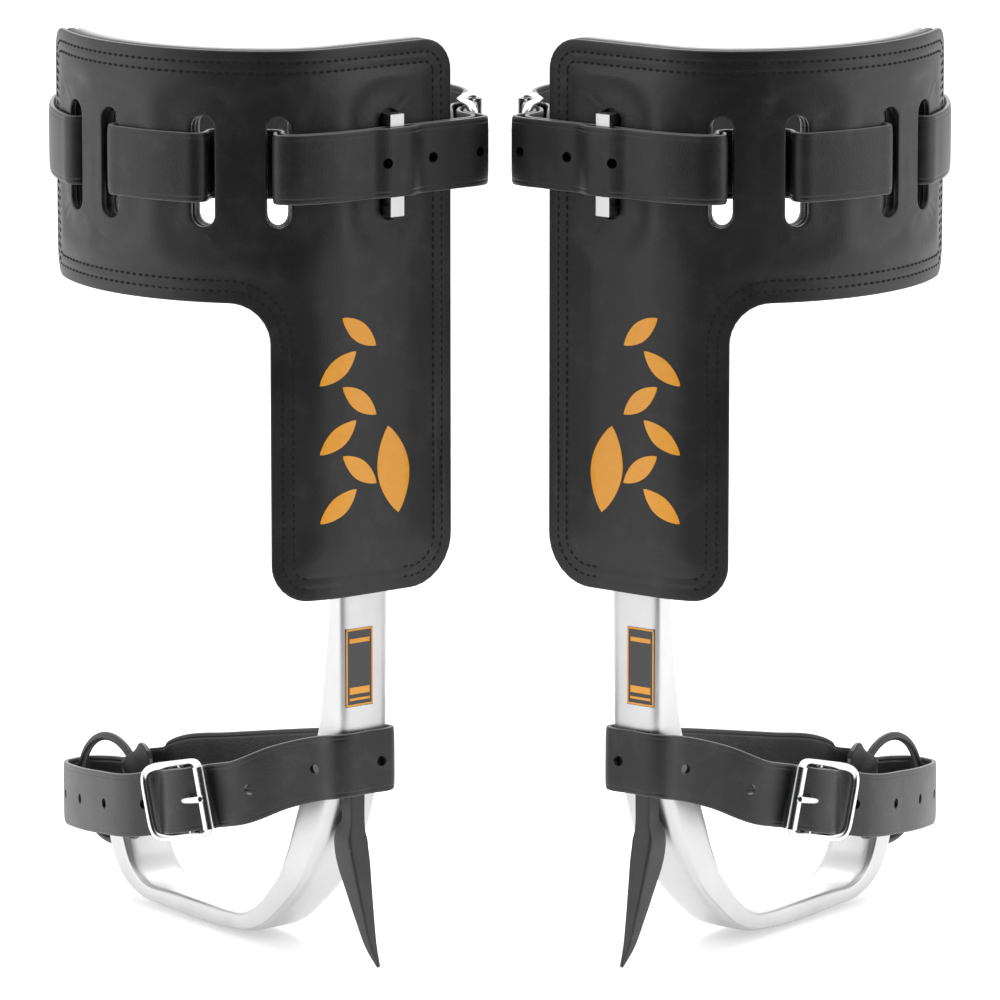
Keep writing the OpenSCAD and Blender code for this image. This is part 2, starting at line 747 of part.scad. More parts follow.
on_left() shank();  // left_shank
on_left() gaff();  // left_gaff
on_left() gaff_screws();  // left_gaff_screws
on_left() label();  // left_label
on_left() sleeve();  // left_sleeve
on_left() sleeve_bolts();  // left_sleeve_bolts
on_left() sleeve_nuts();  // left_sleeve_nuts
on_left() pad_front();  // left_pad_front
on_left() pad_cushion();  // left_pad_cushion
on_left() pad_liner();  // left_pad_liner
on_left() calf_strap();  // left_calf_strap
on_left() calf_buckle();  // left_calf_buckle
on_left() calf_prong();  // left_calf_prong
on_left() calf_roller();  // left_calf_roller
on_left() calf_rivets();  // left_calf_rivets
on_left() ring();  // left_ring
on_left() ankle_strap();  // left_ankle_strap
on_left() buckle_strap();  // left_buckle_strap
on_left() ankle_buckle();  // left_ankle_buckle
on_left() ankle_prong();  // left_ankle_prong
on_left() ankle_roller();  // left_ankle_roller
on_left() ankle_rivets();  // left_ankle_rivets
on_right() shank();  // right_shank
on_right() gaff();  // right_gaff
on_right() gaff_screws();  // right_gaff_screws
on_right() label();  // right_label
on_right() sleeve();  // right_sleeve
on_right() sleeve_bolts();  // right_sleeve_bolts
on_right() sleeve_nuts();  // right_sleeve_nuts
on_right() pad_front();  // right_pad_front
on_right() pad_cushion();  // right_pad_cushion
on_right() pad_liner();  // right_pad_liner
on_right() calf_strap();  // right_calf_strap
on_right() calf_buckle();  // right_calf_buckle
on_right() calf_prong();  // right_calf_prong
on_right() calf_roller();  // right_calf_roller
on_right() calf_rivets();  // right_calf_rivets
on_right() ring();  // right_ring
on_right() ankle_strap();  // right_ankle_strap
on_right() buckle_strap();  // right_buckle_strap
on_right() ankle_buckle();  // right_ankle_buckle
on_right() ankle_prong();  // right_ankle_prong
on_right() ankle_roller();  // right_ankle_roller
on_right() ankle_rivets();  // right_ankle_rivets
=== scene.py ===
"""The looks of a pair of tree climbing spurs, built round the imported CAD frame.

Lengths are millimetres in a spur's own frame until to_row() carries them to metres: x points to
the other leg, y to the heel and z up, from the middle of the foot plate's top face.
"""
import math

import bmesh
import bpy
import numpy as np
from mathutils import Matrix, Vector


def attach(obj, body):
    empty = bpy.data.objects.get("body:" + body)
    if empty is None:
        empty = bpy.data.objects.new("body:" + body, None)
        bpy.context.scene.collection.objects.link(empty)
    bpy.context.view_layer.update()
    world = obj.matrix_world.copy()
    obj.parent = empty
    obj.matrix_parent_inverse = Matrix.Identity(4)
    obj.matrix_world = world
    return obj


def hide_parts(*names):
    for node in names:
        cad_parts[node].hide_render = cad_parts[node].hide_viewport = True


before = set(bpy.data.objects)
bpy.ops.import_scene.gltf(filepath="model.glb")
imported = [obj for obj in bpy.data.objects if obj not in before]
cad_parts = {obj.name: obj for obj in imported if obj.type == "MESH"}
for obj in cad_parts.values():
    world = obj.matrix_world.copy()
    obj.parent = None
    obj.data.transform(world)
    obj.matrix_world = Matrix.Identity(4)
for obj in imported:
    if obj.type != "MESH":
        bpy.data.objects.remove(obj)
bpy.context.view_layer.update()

MM = 0.001
TOE_OUT = math.radians(53)
HALF_SPACING = 138.6
SIDES = ("left", "right")

# The pad's plan, as the CAD model has it.
FACE_X = 130.0
SHANK_X, SHANK_T, SHANK_W = 109.0, 12.0, 29.0
BEND_R, WING_R, BEND_START, BEND_LEN, WING_LEN = 60.0, 108.0, 18.0, 38.7, 155.0
LEG_END = BEND_START + BEND_LEN
WING_END = LEG_END + WING_LEN
PAD_BACK, PAD_TOP, PAD_H, WING_H = 46.0, 450.0, 270.0, 123.0
FRONT_T, CUSHION_T, LINER_T = 3.0, 6.0, 4.0
PAD_T = FRONT_T + CUSHION_T + LINER_T
HUMP, HUMP_HALF = 25.0, 24.0
SLOT_S, LOOP_SLOT_S, SLOT_W, SLOT_H, SLOT_Z = (52.0, 89.5, 144.0, 174.0), -9.0, 12.0, 54.0, 391.0
CALF_W, CALF_Z, ANKLE_W, STRAP_T, GAP = 34.0, 393.0, 32.0, 3.0, 0.3
BAR_RISE, BUCKLE_LEN, WIRE_R, ROLLER_D = 7.2, 42.0, 2.0, 6.8
CALF_BUCKLE = np.array([FACE_X - 35, PAD_BACK + 31.5, CALF_Z])
ANKLE_BUCKLE = np.array([33.7, -46.7, 65.0])
CALF_TURN, ANKLE_TURN = (0.0, 143.0), (-14.0, 8.7)
RING_AT, RING_R, RING_WIRE_R = np.array([-90.0, -8.0, 41.0]), 27.0, 2.2


# ---------------------------------------------------------------- places

def to_row(points, side):
    """Turns points toe-out about z, moves them to their side of the pair, and mirrors the right."""
    p = np.asarray(points, float)
    c, s = math.cos(TOE_OUT), math.sin(TOE_OUT)
    x = c * p[..., 0] + s * p[..., 1] - HALF_SPACING
    y = -s * p[..., 0] + c * p[..., 1]
    if side == "right":
        x = -x
    return np.stack([x, y, p[..., 2]], -1) * MM


def unit(v):
    return v / np.linalg.norm(v, axis=-1, keepdims=True)


def pad_points(s, z, d):
    """The pad's surface: s along the front face, z up, d in from the face. The plan is a straight,
    then an arc of BEND_R, then an arc of WING_R, each tangent to the one before."""
    s, z, d = np.broadcast_arrays(np.asarray(s, float), z, d)
    bend = BEND_LEN / BEND_R
    turn = np.where(s < BEND_START, 0.0, np.where(
        s < LEG_END, (s - BEND_START) / BEND_R, bend + (s - LEG_END) / WING_R))
    bend_c = np.array([FACE_X - BEND_R, -BEND_START])
    wing_c = bend_c + (BEND_R - WING_R) * np.array([math.cos(bend), -math.sin(bend)])
    on_wing = s >= LEG_END
    r = np.where(on_wing, WING_R, BEND_R) - d
    x = np.where(on_wing, wing_c[0], bend_c[0]) + r * np.cos(turn)
    y = np.where(on_wing, wing_c[1], bend_c[1]) - r * np.sin(turn)
    y = np.where(s < BEND_START, -s, y)
    return np.stack([x, y, z], -1)


def swell(s):
    """How far the pad's back stands in over the sleeve: a smooth step up and down along s."""
    t = np.clip((PAD_BACK - np.abs(s)) / (PAD_BACK - HUMP_HALF), 0, 1)
    return HUMP * t * t * (3 - 2 * t)


def buckle_spot(p, at, turn):
    """Carries a place along a buckle to the spur's frame: a tilt about y, then a turn about z."""
    p = np.asarray(p, float)
    b, a = math.radians(turn[0]), math.radians(turn[1])
    x = math.cos(b) * p[..., 0] + math.sin(b) * p[..., 2]
    z = math.cos(b) * p[..., 2] - math.sin(b) * p[..., 0]
    x, y = math.cos(a) * x - math.sin(a) * p[..., 1], math.sin(a) * x + math.cos(a) * p[..., 1]
    return at + np.stack([x, y, z], -1)


# ---------------------------------------------------------------- mesh pieces

def piece(name, verts, faces, side, material, body, slot, node=None, uv=None, sharp=35):
    """Puts one closed surface into the scene, riding on its body and standing for its CAD node."""
    name = f"{side}_{name}"
    mesh = bpy.data.meshes.new(name)
    mesh.from_pydata(to_row(verts, side).tolist(), [], [tuple(f) for f in faces])
    if uv is not None:
        loops = np.empty(len(mesh.loops), np.int32)
        mesh.loops.foreach_get("vertex_index", loops)
        mesh.uv_layers.new(name="along").data.foreach_set("uv", np.asarray(uv)[loops].ravel())
    bm = bmesh.new()
    bm.from_mesh(mesh)
    bmesh.ops.recalc_face_normals(bm, faces=bm.faces)
    bm.to_mesh(mesh)
    bm.free()
    mesh.shade_smooth()
    mesh.set_sharp_from_angle(angle=math.radians(sharp))
    mesh.materials.append(material)
    obj = bpy.data.objects.new(name, mesh)
    bpy.context.scene.collection.objects.link(obj)
    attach(obj, f"{side}_{body}")
    if node:
        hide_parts(f"{side}_{node}")
    return obj


def tube_faces(rings, around, closed=False):
    """Quads between rings of points, with a fan of end faces on an open tube."""
    i = np.arange(rings if closed else rings - 1)[:, None] * around
    k = np.arange(around)[None, :]
    j = (k + 1) % around
    n = rings * around
    quads = np.stack([i + k, i + j, (i + around + j) % n, (i + around + k) % n], -1).reshape(-1, 4)
    faces = quads.tolist()
    if not closed:
        faces += [list(range(around))[::-1], list(range(n - around, n))]
    return faces


def smooth_path(points, step, soften=0):
    """A path of columns resampled evenly: a centripetal-like spline through the points, then
    a few rounds of averaging with the neighbours, which rounds the corners like leather."""
    p = np.asarray(points, float)
    dist = np.concatenate([[0], np.cumsum(np.linalg.norm(np.diff(p[:, :3], axis=0), axis=1))])
    keep = np.concatenate([[True], np.diff(dist) > 1e-6])
    p, dist = p[keep], dist[keep]
    n = max(int(dist[-1] / step), 4)
    at = np.linspace(0, dist[-1], n + 1)
    i = np.clip(np.searchsorted(dist, at, side="right") - 1, 0, len(p) - 2)
    h = (dist[i + 1] - dist[i])[:, None]
    t = (at - dist[i])[:, None] / h
    slope = np.gradient(p, dist, axis=0)
    m0, m1 = slope[i] * h, slope[i + 1] * h
    out = ((2 * t**3 - 3 * t**2 + 1) * p[i] + (t**3 - 2 * t**2 + t) * m0
           + (3 * t**2 - 2 * t**3) * p[i + 1] + (t**3 - t**2) * m1)
    for _ in range(soften):
        out[1:-1] = (out[:-2] + 2 * out[1:-1] + out[2:]) / 4
    return out


def strap_surface(path, thick, tip=(True, False), crown=0.25):
    """A leather strap: a flat section with round edges carried along the path's columns
    [x, y, z, width, edge direction x, y, z]. The ends narrow to a half circle where tip says."""
    p, width, edge_hint = path[:, :3], path[:, 3].copy(), path[:, 4:7]
    ahead = unit(np.gradient(p, axis=0))
    edge = unit(edge_hint - (edge_hint * ahead).sum(-1, keepdims=True) * ahead)
    face = np.cross(ahead, edge)
    run = np.concatenate([[0], np.cumsum(np.linalg.norm(np.diff(p, axis=0), axis=1))])
    for end, on in ((run, tip[0]), (run[-1] - run, tip[1])):
        if on:
            inside = np.clip(end / (width * 0.42), 0.02, 1)
            width = width * np.sqrt(np.clip(1 - (1 - inside) ** 2, 0.02, 1))
    a = np.linspace(0, 2 * np.pi, 28, endpoint=False)
    # The section: a stadium-like curve, flat on both faces with edges rounded by 1.1 mm.
    across = np.sign(np.cos(a)) * np.abs(np.cos(a)) ** 0.35
    through = np.sign(np.sin(a)) * np.abs(np.sin(a)) ** 0.45
    through = through * (1 + crown * 0.1 * (1 - across**2))
    half = (width / 2)[:, None, None]
    pts = p[:, None, :] + half * across[None, :, None] * edge[:, None, :] \
        + thick / 2 * through[None, :, None] * face[:, None, :]
    uv = np.stack(np.broadcast_arrays(run[:, None] * MM, across[None, :] * 0.5 + 0.5), -1)
    return pts.reshape(-1, 3), tube_faces(len(p), len(a)), uv.reshape(-1, 2)


def wire_surface(path, radius, closed=False, around=16):
    """A round wire carried along a path; radius may change along it."""
    p = np.asarray(path, float)
    ahead = np.roll(p, -1, 0) - np.roll(p, 1, 0) if closed else np.gradient(p, axis=0)
    ahead = unit(ahead)
    hint = np.where(np.abs(ahead[:, 2:3]) > 0.9, np.array([[1.0, 0, 0]]), np.array([[0, 0, 1.0]]))
    if closed:
        normal = np.cross(p[len(p) // 3] - p[0], p[2 * len(p) // 3] - p[0])
        hint = np.broadcast_to(unit(normal), p.shape)
    side = unit(np.cross(hint, ahead))
    up = np.cross(ahead, side)
    a = np.linspace(0, 2 * np.pi, around, endpoint=False)
    r = np.broadcast_to(np.asarray(radius, float), (len(p),))[:, None, None]
    c, s = np.cos(a)[None, :, None], np.sin(a)[None, :, None]
    pts = p[:, None] + r * (c * side[:, None] + s * up[:, None])
    return pts.reshape(-1, 3), tube_faces(len(p), around, closed)


def merged(surfaces):
    """Joins several (points, faces) surfaces into one."""
    verts, faces, start = [], [], 0
    for v, f in surfaces:
        verts.append(v)
        faces += [[i + start for i in q] for q in f]
        start += len(v)
    return np.concatenate(verts), faces


def cut(obj, tool_verts, tool_faces, side):
    """Takes a closed tool shape out of a piece with one boolean, applied at once."""
    mesh = bpy.data.meshes.new("tool")
    mesh.from_pydata(to_row(tool_verts, side).tolist(), [], [tuple(f) for f in tool_faces])
    bm = bmesh.new()
    bm.from_mesh(mesh)
    bmesh.ops.recalc_face_normals(bm, faces=bm.faces)
    bm.to_mesh(mesh)
    bm.free()
    walls = mesh.uv_layers.new(name="along")
    walls.data.foreach_set("uv", np.full(2 * len(mesh.loops), 0.5))
    tool = bpy.data.objects.new("tool", mesh)
    bpy.context.scene.collection.objects.link(tool)
    mod = obj.modifiers.new("cut", "BOOLEAN")
    mod.operation, mod.solver, mod.object = "DIFFERENCE", "MANIFOLD", tool
    evaluated = obj.evaluated_get(bpy.context.evaluated_depsgraph_get())
    done = bpy.data.meshes.new_from_object(evaluated)
    obj.modifiers.clear()
    old = obj.data
    obj.data = done
    done.name = old.name
    bpy.data.meshes.remove(old)
    bpy.data.objects.remove(tool)
    done.shade_smooth()
    done.set_sharp_from_angle(angle=math.radians(40))


# ---------------------------------------------------------------- finishes

class Signal:
    """A node's output socket; arithmetic on it adds Math nodes."""

    def __init__(self, tree, socket):
        self.tree, self.socket = tree, socket

    def math(self, operation, *values):
        node = self.tree.nodes.new("ShaderNodeMath")
        node.operation = operation
        for slot, value in zip(node.inputs, values):
            if isinstance(value, Signal):
                self.tree.links.new(value.socket, slot)
            else:
                slot.default_value = value
        return Signal(self.tree, node.outputs[0])

    def __add__(self, other):
        return self.math("ADD", self, other)

    def __mul__(self, other):
        return self.math("MULTIPLY", self, other)

    def __sub__(self, other):
        return self.math("SUBTRACT", self, other)

    def __rsub__(self, other):
        return self.math("SUBTRACT", other, self)

    __radd__ = __add__
    __rmul__ = __mul__


class Finish:
    """One material: a Principled shader and the nodes that feed it."""

    def __init__(self, name, color, rough, metal=0.0, **fixed):
        self.mat = bpy.data.materials.new(name)
        self.mat.use_nodes = True
        self.tree = self.mat.node_tree
        self.bsdf = self.tree.nodes["Principled BSDF"]
        self.bsdf.inputs["Base Color"].default_value = (*color, 1)
        self.bsdf.inputs["Roughness"].default_value = rough
        self.bsdf.inputs["Metallic"].default_value = metal
        for key, value in fixed.items():
            self.bsdf.inputs[key.replace("_", " ")].default_value = value

    def node(self, kind, settings, inputs, out=0):
        made = self.tree.nodes.new(kind)
        stops = settings.pop("stops", None)
        for key, value in settings.items():
            setattr(made, key, value)
        if stops:
            ramp = made.color_ramp.elements
            while len(ramp) < len(stops):
                ramp.new(0.5)
            for element, (at, level) in zip(ramp, stops):
                element.position, element.color = at, (level, level, level, 1)
        for key, value in inputs.items():
            if isinstance(value, Signal):
                self.tree.links.new(value.socket, made.inputs[key])
            else:
                made.inputs[key].default_value = value
        return Signal(self.tree, made.outputs[out])

    def place(self):
        return self.node("ShaderNodeTexCoord", {}, {}, "Object")

    def noise(self, scale, detail=4.0, rough=0.55, where=None):
        return self.node("ShaderNodeTexNoise", {}, {
            "Vector": where or self.place(), "Scale": scale, "Detail": detail, "Roughness": rough}, 0)

    def ramp(self, signal, stops):
        return self.node("ShaderNodeValToRGB", {"stops": stops}, {"Fac": signal})

    def blend(self, amount, low, high):
        return self.node("ShaderNodeMix", {"data_type": "RGBA"}, {
            0: amount, 6: low if isinstance(low, Signal) else (*low, 1),
            7: high if isinstance(high, Signal) else (*high, 1)}, 2)

    def feed(self, name, signal):
        self.tree.links.new(signal.socket, self.bsdf.inputs[name])

    def bump(self, height, strength, distance):
        self.feed("Normal", self.node("ShaderNodeBump", {}, {
            "Height": height, "Strength": strength, "Distance": distance}))


def leather(name, dark, light, rough, pore=1400.0, depth=0.00025, edge=None):
    """Leather: clouded colour, fine pores and creases; a strap's raw edge may be lighter."""
    f = Finish(name, dark, rough, Specular_IOR_Level=0.42)
    cloud = f.noise(22.0, 5.0)
    wear = f.ramp(f.noise(70.0, 6.0, 0.65), [(0.52, 0.0), (0.78, 1.0)])
    color = f.blend(f.ramp(cloud, [(0.3, 0.0), (0.75, 1.0)]), dark, light)
    color = f.blend(wear * 0.35, color, tuple(min(1, c * 2.1 + 0.02) for c in light))
    pores = f.node("ShaderNodeTexVoronoi", {"feature": "F1"}, {"Vector": f.place(), "Scale": pore})
    fine = f.noise(pore * 0.6, 3.0)
    if edge:
        across = f.node("ShaderNodeSeparateXYZ", {}, {
            "Vector": f.node("ShaderNodeUVMap", {"uv_map": "along"}, {})}, 1)
        off = (across - 0.5).math("ABSOLUTE", across - 0.5)
        raw = f.ramp(off, [(0.484, 0.0), (0.497, 1.0)])
        groove = f.ramp(off, [(0.40, 0.0), (0.425, 1.0), (0.45, 0.0)])
        color = f.blend(raw, color, edge)
        f.bump(pores * 0.5 + fine * 0.6 - groove * 1.6, 0.5, depth)
    else:
        f.bump(pores * 0.5 + fine * 0.6 + cloud * 1.5, 0.45, depth)
    f.feed("Base Color", color)
    f.feed("Roughness", cloud * 0.22 + (rough - 0.10))
    return f.mat


def metal(name, color, rough, scratch=0.12, dark=0.85, lay=(1.0, 1.0, 0.06), scale=260.0, coat=0.0):
    """Bare metal: faint drawn lines along one direction, small dents and a clouded gloss."""
    f = Finish(name, color, rough, 1.0, Coat_Weight=coat)
    lines = f.noise(scale, 3.0, 0.6, f.node("ShaderNodeMapping", {}, {
        "Vector": f.place(), "Scale": lay}))
    cloud = f.noise(28.0, 4.0)
    shade = f.ramp(cloud, [(0.3, 0), (0.7, 1)])
    f.feed("Base Color", f.blend(shade, tuple(c * dark for c in color), color))
    f.feed("Roughness", lines * scratch + cloud * 0.12 + (rough - scratch / 2 - 0.06))
    f.bump(lines, 0.12, 0.00008)
    return f.mat


def painted(name, color, worn, rough):
    """Black finish on forged steel: a fine pebbled skin with thin wear to bare metal."""
    f = Finish(name, color, rough, Specular_IOR_Level=0.5)
    wear = f.ramp(f.noise(160.0, 8.0, 0.7), [(0.62, 0.0), (0.72, 1.0)])
    f.feed("Base Color", f.blend(wear, color, worn))
    f.feed("Metallic", wear * 0.7)
    f.feed("Roughness", f.noise(90.0) * 0.25 + (rough - 0.12))
    f.bump(f.noise(700.0, 3.0), 0.35, 0.00012)
    return f.mat


def felt(name, color):
    """Pressed felt: matted fibres and a soft clouded shade."""
    f = Finish(name, color, 0.95, Sheen_Weight=0.4)
    fibres = f.noise(900.0, 6.0, 0.75)
    f.feed("Base Color", f.blend(f.noise(120.0, 5.0), tuple(c * 0.78 for c in color), color))
    f.bump(fibres + f.noise(240.0, 4.0) * 0.8, 0.9, 0.0006)
    return f.mat


def print_film(name, color, rough=0.35):
    """Printed film: nearly even colour with faint mottling."""
    f = Finish(name, color, rough, Coat_Weight=0.3)
    f.feed("Base Color", f.blend(f.noise(300.0, 4.0), tuple(c * 0.86 for c in color), color))
    f.bump(f.noise(1500.0, 2.0), 0.1, 0.00005)
    return f.mat


PAD = leather("pad_leather", (0.009, 0.009, 0.010), (0.016, 0.016, 0.017), 0.40)
CUSHION = leather("cushion_leather", (0.008, 0.008, 0.009), (0.014, 0.014, 0.015), 0.5)
STRAP = leather("strap_leather", (0.011, 0.011, 0.012), (0.020, 0.020, 0.021), 0.44, 1100.0, 0.0003,
                edge=(0.16, 0.155, 0.15))
FELT = felt("grey_felt", (0.66, 0.66, 0.65))
CAST = metal("cast_aluminium", (0.64, 0.64, 0.645), 0.40, 0.12, 0.88, (1.0, 1.0, 1.0), 420.0)
PLAIN = metal("plain_aluminium", (0.66, 0.66, 0.665), 0.33)
CHROME = metal("chromed_steel", (0.86, 0.87, 0.88), 0.14, 0.05)
PLATED = metal("plated_steel", (0.78, 0.79, 0.80), 0.28, 0.08)
BLACK = painted("black_steel", (0.018, 0.018, 0.019), (0.12, 0.12, 0.123), 0.42)
FILM = print_film("label_film", (0.012, 0.012, 0.013), 0.28)
ORANGE = print_film("orange_print", (0.93, 0.38, 0.010), 0.4)
THREAD = leather("thread", (0.002, 0.002, 0.002), (0.004, 0.004, 0.004), 0.85, 2500.0)


# ---------------------------------------------------------------- stirrup, shank and gaff

def section(n, hard_a, hard_b):
    """A rounded rectangle as a superellipse: two columns from -1 to 1; lower numbers are squarer."""
    a = np.linspace(0, 2 * np.pi, n, endpoint=False)
    c, s = np.cos(a), np.sin(a)
    return np.sign(c) * np.abs(c) ** hard_a, np.sign(s) * np.abs(s) ** hard_b


def forging_surface():
    """The stirrup and shank: rows of an inner and an outer place, x and z each, become a middle
    line and half a thickness, and a rounded rectangle of the forging's width follows that line:
    point = middle + a * half, y = b * width / 2, both shrunk at the two ends."""
    pairs = np.array([
        [-72, 34, -88, 34], [-70.6, 27, -87, 25], [-67.5, 18, -84.5, 16], [-63.5, 9.5, -79.5, 6],
        [-57.5, 3.2, -71, -2.6], [-50, 0, -58, -8.2], [-30, 0, -32, -10.2], [0, 0, -2, -10.9],
        [22, 0, 20, -9.8], [34, 1.6, 38, -7.6], [45, 8.5, 53, -1.8], [55, 18.5, 68, 9],
        [63.5, 28.5, 83, 22], [70, 41, 95, 37], [76, 56, 104.5, 53], [83, 72, 111.5, 71],
        [91, 90, 117, 90], [97.5, 106, 120.6, 106], [102.5, 130, 121, 130],
        [106.5, 155, 121, 155], [109, 178, 121, 178], [109, 230, 121, 230], [109, 384.5, 121, 384.5]])
    inner, outer = pairs[:, :2], pairs[:, 2:]
    mid, half = (inner + outer) / 2, (outer - inner) / 2
    path = smooth_path(np.column_stack([mid[:, 0], 0 * mid[:, 0], mid[:, 1], half]), 2.2, 2)
    n = len(path)
    run = np.arange(n)
    round_end = np.sqrt(np.clip(1 - (1 - np.clip((run + 0.35) / 3, 0, 1)) ** 2, 0.05, 1))
    round_top = np.clip((n - run) / 2.0, 0.86, 1)
    shrink = (round_end * round_top)[:, None]
    a, b = section(44, 0.42, 0.30)
    z = path[:, 2:3]
    soften = 0.93 + 0.07 * np.clip((z - 20) / 60, 0, 1)
    x = path[:, 0:1] + a * path[:, 3:4] * shrink
    up = z + a * path[:, 4:5] * shrink
    y = b * SHANK_W / 2 * shrink * np.where(np.abs(a) > 0.75, soften, 1.0)
    return np.stack([x, y, up], -1).reshape(-1, 3), tube_faces(n, 44)


def gaff_surface():
    """The gaff: thickness and width along a bent line, from the tang down to a chisel-like point."""
    rows = np.array([
        [116.8, 110, 8.8, 9], [116.8, 92, 9, 9], [116.8, 74, 9, 9], [116.6, 62, 9.4, 9.4],
        [115.0, 56, 13.4, 12], [115.4, 50, 14.4, 12], [117.0, 44, 14.4, 11.6], [121.0, 32, 11.8, 9.6],
        [126.2, 17, 8.4, 6.8], [131.8, 3, 4.9, 4.0], [136.4, -4, 2.4, 1.8], [137.9, -6, 1.4, 1.2]])
    path = smooth_path(np.column_stack([rows[:, 0], 0 * rows[:, 0] - 5, rows[:, 1], rows[:, 2:]]), 1.6, 1)
    a, b = section(48, 0.24, 0.24)
    ahead = unit(np.gradient(path[:, :3], axis=0))
    out = np.stack([-ahead[:, 2], 0 * ahead[:, 0], ahead[:, 0]], -1)
    pts = path[:, None, :3] + (path[:, 3] / 2)[:, None, None] * a[None, :, None] * out[:, None]
    pts[..., 1] += (path[:, 4] / 2)[:, None] * b[None]
    return pts.reshape(-1, 3), tube_faces(len(path), 48)


def ring_path(n=96):
    a = np.linspace(0, 2 * np.pi, n, endpoint=False)
    return RING_AT + RING_R * np.stack([np.cos(a), 0 * a, np.sin(a)], -1)


# ---------------------------------------------------------------- pad

def corner_loop(corners, steps=9):
    """An outline of rounded corners [s, z, radius]: each becomes an arc tangent to both sides."""
    out = []
    for i, (s, z, r) in enumerate(corners):
        q = np.array([s, z])
        u = unit(np.array(corners[i - 1][:2]) - q)
        v = unit(np.array(corners[(i + 1) % len(corners)][:2]) - q)
        half = math.acos(float(u @ v)) / 2
        c = q + unit(u + v) * r / math.sin(half)
        a, b = q + u * r / math.tan(half) - c, q + v * r / math.tan(half) - c
        t = np.linspace(0, 1, steps)[:, None]
        out.append(c + r * unit(a * (1 - t) + b * t))
    return np.concatenate(out)


def pad_outline(inset):
    i = inset
    return corner_loop([
        (-PAD_BACK + i, PAD_TOP - i, 16 - i), (WING_END - i, PAD_TOP - i, 16 - i),
        (WING_END - i, PAD_TOP - WING_H + i, 16 - i), (LEG_END - i, PAD_TOP - WING_H + i, 20 + i),
        (LEG_END - i, PAD_TOP - PAD_H + i, 18 - i), (-PAD_BACK + i, PAD_TOP - PAD_H + i, 25 - i)])


def slot_loop(s):
    """A strap slot: two half circles joined by straight sides."""
    a = np.linspace(0, np.pi, 13)
    r, h = SLOT_W / 2, SLOT_H / 2 - SLOT_W / 2
    top = np.stack([s + r * np.cos(a), SLOT_Z + h + r * np.sin(a)], -1)
    return np.concatenate([top, np.stack([2 * s - top[:, 0], 2 * SLOT_Z - top[:, 1]], -1)])


def flat_panel(loops, thick, bevel, step):
    """A flat sheet cut to closed loops, with round edges, sliced into strips so that it can bend.
    Returns its points as columns s, z and depth share (0 front, 1 back), and its faces."""
    curve = bpy.data.curves.new("cut", "CURVE")
    curve.dimensions, curve.fill_mode = "2D", "BOTH"
    curve.extrude, curve.bevel_depth, curve.bevel_resolution = thick / 2 - bevel, bevel, 3
    curve.offset = -bevel
    for loop in loops:
        spline = curve.splines.new("POLY")
        spline.points.add(len(loop) - 1)
        spline.points.foreach_set("co", np.column_stack([loop, 0 * loop]).ravel())
        spline.use_cyclic_u = True
    obj = bpy.data.objects.new("cut", curve)
    bpy.context.scene.collection.objects.link(obj)
    mesh = bpy.data.meshes.new_from_object(obj.evaluated_get(bpy.context.evaluated_depsgraph_get()))
    bpy.data.objects.remove(obj)
    bpy.data.curves.remove(curve)
    bm = bmesh.new()
    bm.from_mesh(mesh)
    bmesh.ops.remove_doubles(bm, verts=bm.verts, dist=0.01)
    box = loops[0]
    for axis in (0, 1):
        for at in np.arange(box[:, axis].min() + step, box[:, axis].max() - 0.5, step):
            co, no = [0, 0, 0], [0, 0, 0]
            co[axis], no[axis] = at, 1
            bmesh.ops.bisect_plane(bm, geom=bm.verts[:] + bm.edges[:] + bm.faces[:],
                                   plane_co=co, plane_no=no, dist=1e-4)
    bmesh.ops.triangulate(bm, faces=[f for f in bm.faces if len(f.verts) > 4])
    bm.verts.index_update()
    verts = np.array([v.co[:] for v in bm.verts])
    faces = [[v.index for v in f.verts] for f in bm.faces]
    bm.free()
    bpy.data.meshes.remove(mesh)
    verts[:, 2] = verts[:, 2] / thick + 0.5
    return verts, faces


def edge_distance(points, loops):
    """Distance from each point to the nearest side of the loops, in the flat."""
    best = np.full(len(points), 1e9)
    for loop in loops:
        a, b = loop, np.roll(loop, -1, 0)
        for i in range(0, len(a), 40):
            p, q = a[i:i + 40], b[i:i + 40]
            d = q - p
            rel = points[:, None] - p[None]
            t = np.clip((rel * d).sum(-1) / ((d * d).sum(-1) + 1e-9), 0, 1)
            best = np.minimum(best, np.linalg.norm(rel - t[..., None] * d, axis=-1).min(1))
    return best


STITCH_ROWS = (6.0, 11.0)


def rise(x):
    """0 below 0, 1 above 1 and a smooth step between."""
    x = np.clip(x, 0, 1)
    return x * x * (3 - 2 * x)


def front_lift(s, z, loops):
    """How far the front leather stands out: crowned inside its two stitched rows, pulled in along
    them, and drawn over the sleeve's edges."""
    dist = edge_distance(np.stack([s, z], -1), loops)
    outer, inner = STITCH_ROWS
    rows = np.exp(-((dist - outer) / 1.3) ** 2) + np.exp(-((dist - inner) / 1.3) ** 2)
    over_sleeve = rise((26 - np.abs(s)) / 9) * rise((dist - inner) / 8)
    return 1.3 * rise((dist - inner) / 16) - 0.35 * rows + 0.6 * over_sleeve


PAD_LOOPS = [pad_outline(0)] + [slot_loop(s) for s in SLOT_S]
FRONT_LOOPS = PAD_LOOPS + [slot_loop(LOOP_SLOT_S)]


def leg_share(z):
    """0 on the pad's wing and 1 on its leg, where the padding is thicker."""
    return rise((PAD_TOP - WING_H + 10 - z) / 40)


LEG_CUSHION, LEG_FELT = 2.0, 4.0


def cushion_depth(z):
    return CUSHION_T + LEG_CUSHION * leg_share(z)


